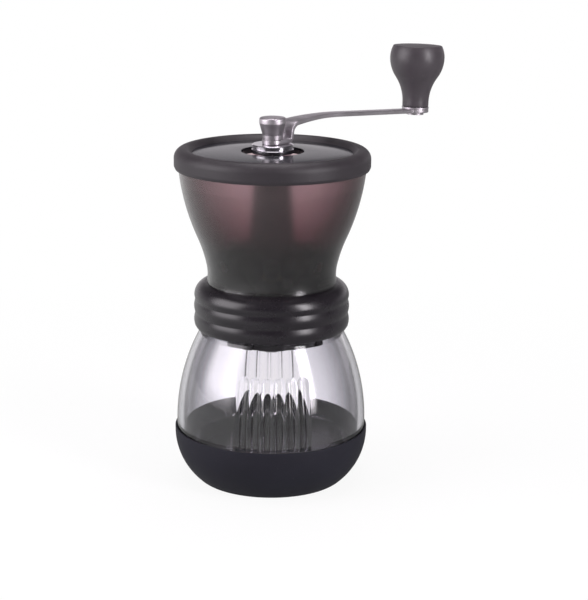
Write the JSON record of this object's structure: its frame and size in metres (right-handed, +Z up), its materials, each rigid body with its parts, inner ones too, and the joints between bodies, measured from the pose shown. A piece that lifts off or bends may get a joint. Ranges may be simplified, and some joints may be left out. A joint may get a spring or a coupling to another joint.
{
  "type": "manual coffee grinder",
  "caption": "Hand coffee grinder with a fluted glass jar in a soft base, a ribbed screw collar, a flared bean hopper with a lid, and a bent crank with a flared knob.",
  "frame": {"origin": "middle of the flat foot, on the table", "axes": "+Z up along the drive shaft, -Y towards the front flutes, +X to the right"},
  "size_m": [0.1326, 0.1426, 0.2011],
  "materials": {
    "base_rubber": "matte soft rubber",
    "jar_glass": "clear pressed glass",
    "seal_silicone": "soft silicone",
    "collar_plastic": "satin moulded plastic",
    "hopper_plastic": "smooth smoke-brown see-through plastic",
    "housing_plastic": "moulded plastic",
    "screw_steel": "plain steel",
    "bush_brass": "turned",
    "burr_ceramic": "fired ceramic",
    "nut_chrome": "polished",
    "crank_steel": "satin",
    "knob_plastic": "satin moulded plastic",
    "lid_rim_plastic": "matte moulded plastic",
    "lid_plate_plastic": "glossy moulded plastic"
  },
  "bodies": {
    "jar": {"non_slip_base": "base_rubber", "glass_jar": "jar_glass"},
    "seal": {"jar_seal": "seal_silicone"},
    "head": {"screw_collar": "collar_plastic", "hopper": "hopper_plastic", "burr_housing": "housing_plastic", "housing_screws": "screw_steel", "lower_bush": "bush_brass", "outer_burr": "burr_ceramic", "burr_holder": "housing_plastic", "holder_screws": "screw_steel", "shaft_bridge": "housing_plastic", "bridge_screws": "screw_steel", "upper_bush": "bush_brass"},
    "keys": {"thrust_washer": "screw_steel", "lock_ring": "nut_chrome"},
    "adjuster": {"adjusting_nut": "nut_chrome"},
    "drive": {"drive_shaft": "screw_steel", "burr_carrier": "housing_plastic", "inner_burr": "burr_ceramic", "burr_washer": "screw_steel", "burr_nut": "screw_steel", "burr_spring": "screw_steel", "crank_arm": "crank_steel", "handle_nut": "crank_steel", "knob_pin": "screw_steel", "knob_washer": "screw_steel"},
    "knob": {"knob_grip": "knob_plastic", "knob_cap": "knob_plastic"},
    "lid": {"lid_rim": "lid_rim_plastic", "lid_plate": "lid_plate_plastic"}
  },
  "joints": [
    {"name": "head_rise", "type": "slide", "parent": "jar", "child": "seal", "axis": [0, 0, 1], "range_m": [0, 0.0075]},
    {"name": "head_unscrew", "type": "hinge", "parent": "seal", "child": "head", "pos_m": [0, 0, 0.0895], "axis": [0, 0, 1], "range_deg": [0, 540]},
    {"name": "lid_lift", "type": "slide", "parent": "head", "child": "lid", "axis": [0, 0, 1], "range_m": [0, 0.0085]},
    {"name": "crank_spin", "type": "hinge", "parent": "head", "child": "keys", "pos_m": [0, 0, 0.149], "axis": [0, 0, 1], "continuous": true},
    {"name": "grind_adjust", "type": "hinge", "parent": "keys", "child": "adjuster", "pos_m": [0, 0, 0.155], "axis": [0, 0, -1], "range_deg": [0, 432]},
    {"name": "grind_travel", "type": "slide", "parent": "keys", "child": "drive", "axis": [0, 0, 1], "range_m": [0, 0.0012], "deforming": ["burr_spring"]},
    {"name": "knob_spin", "type": "hinge", "parent": "drive", "child": "knob", "pos_m": [0.07194, 0.08189, 0.16888], "axis": [0.0173, 0.0197, 0.9997], "continuous": true}
  ],
  "couplings": [
    {"joint": "head_rise", "follows": "head_unscrew", "m_per_rad": 0.00079577},
    {"joint": "grind_adjust", "follows": "grind_travel", "rad_per_m": 6283.1}
  ]
}
